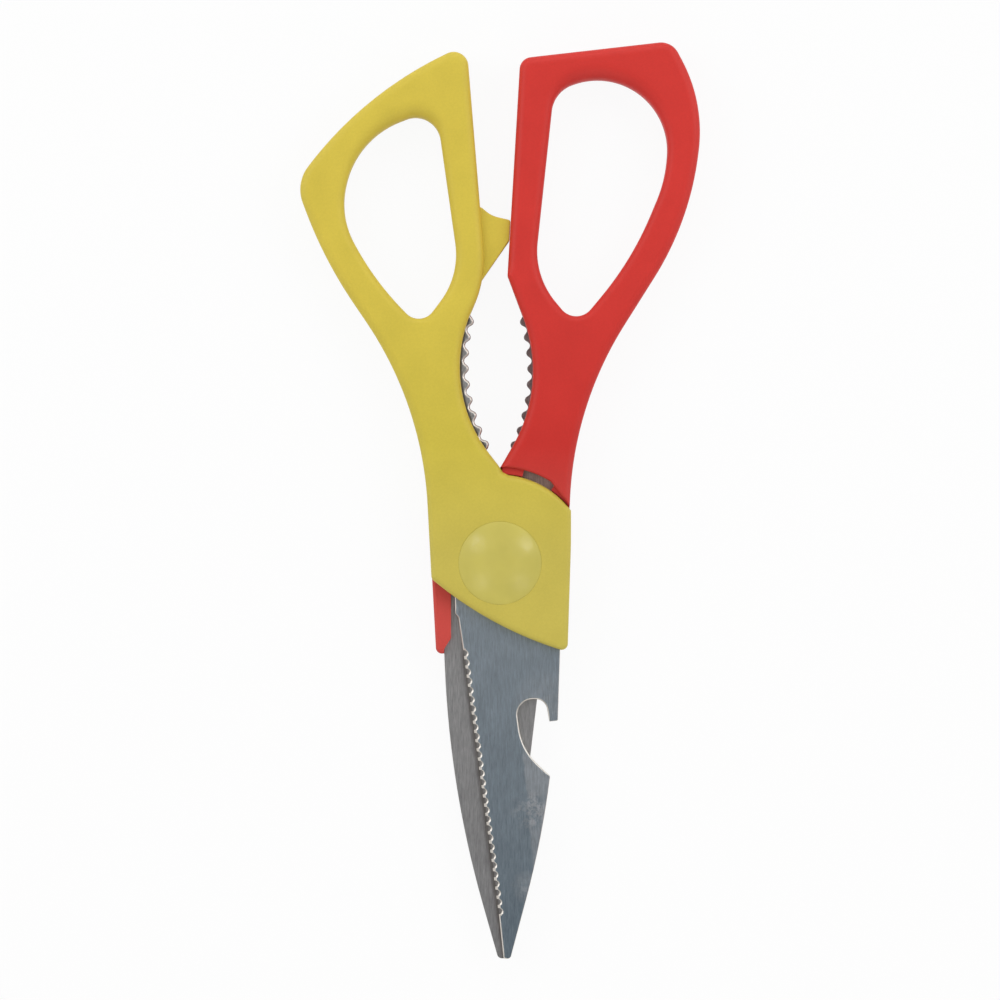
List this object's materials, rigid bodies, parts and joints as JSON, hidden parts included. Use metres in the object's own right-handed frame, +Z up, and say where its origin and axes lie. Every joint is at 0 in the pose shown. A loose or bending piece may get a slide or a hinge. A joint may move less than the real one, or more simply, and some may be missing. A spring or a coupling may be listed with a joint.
{
  "type": "kitchen scissors",
  "caption": "Kitchen scissors with a scalloped blade, a bottle-opener notch, nutcracker jaws and moulded finger loops in two colours, on a screw pivot under a domed cap",
  "frame": {"origin": "where the pivot axis meets the plane the scissors lie on", "axes": "+Y from the pivot to the finger loops, with the blade tips towards -Y; +Z up along the pivot, out of the face with the domed cap; +X across, towards the red loop"},
  "size_m": [0.088, 0.2016, 0.0109],
  "materials": {
    "yellow_plastic": "satin",
    "red_plastic": "satin",
    "front_blade_steel": "brushed",
    "rear_blade_steel": "brushed",
    "yellow_cap": "gloss",
    "red_cap": "gloss",
    "pivot_steel": "satin"
  },
  "bodies": {
    "rear_half": {"red_handle": "red_plastic", "rear_blade": "rear_blade_steel", "rear_cap": "red_cap", "pivot_nut": "pivot_steel", "flat_washer": "pivot_steel", "pivot_screw": "pivot_steel", "spring_washer": "pivot_steel"},
    "front_half": {"yellow_handle": "yellow_plastic", "front_blade": "front_blade_steel", "front_cap": "yellow_cap"}
  },
  "joints": [
    {"name": "blade_pivot", "type": "hinge", "parent": "rear_half", "child": "front_half", "pos_m": [0, 0, 0.005], "axis": [0, 0, 1], "range_deg": [0, 65]}
  ]
}
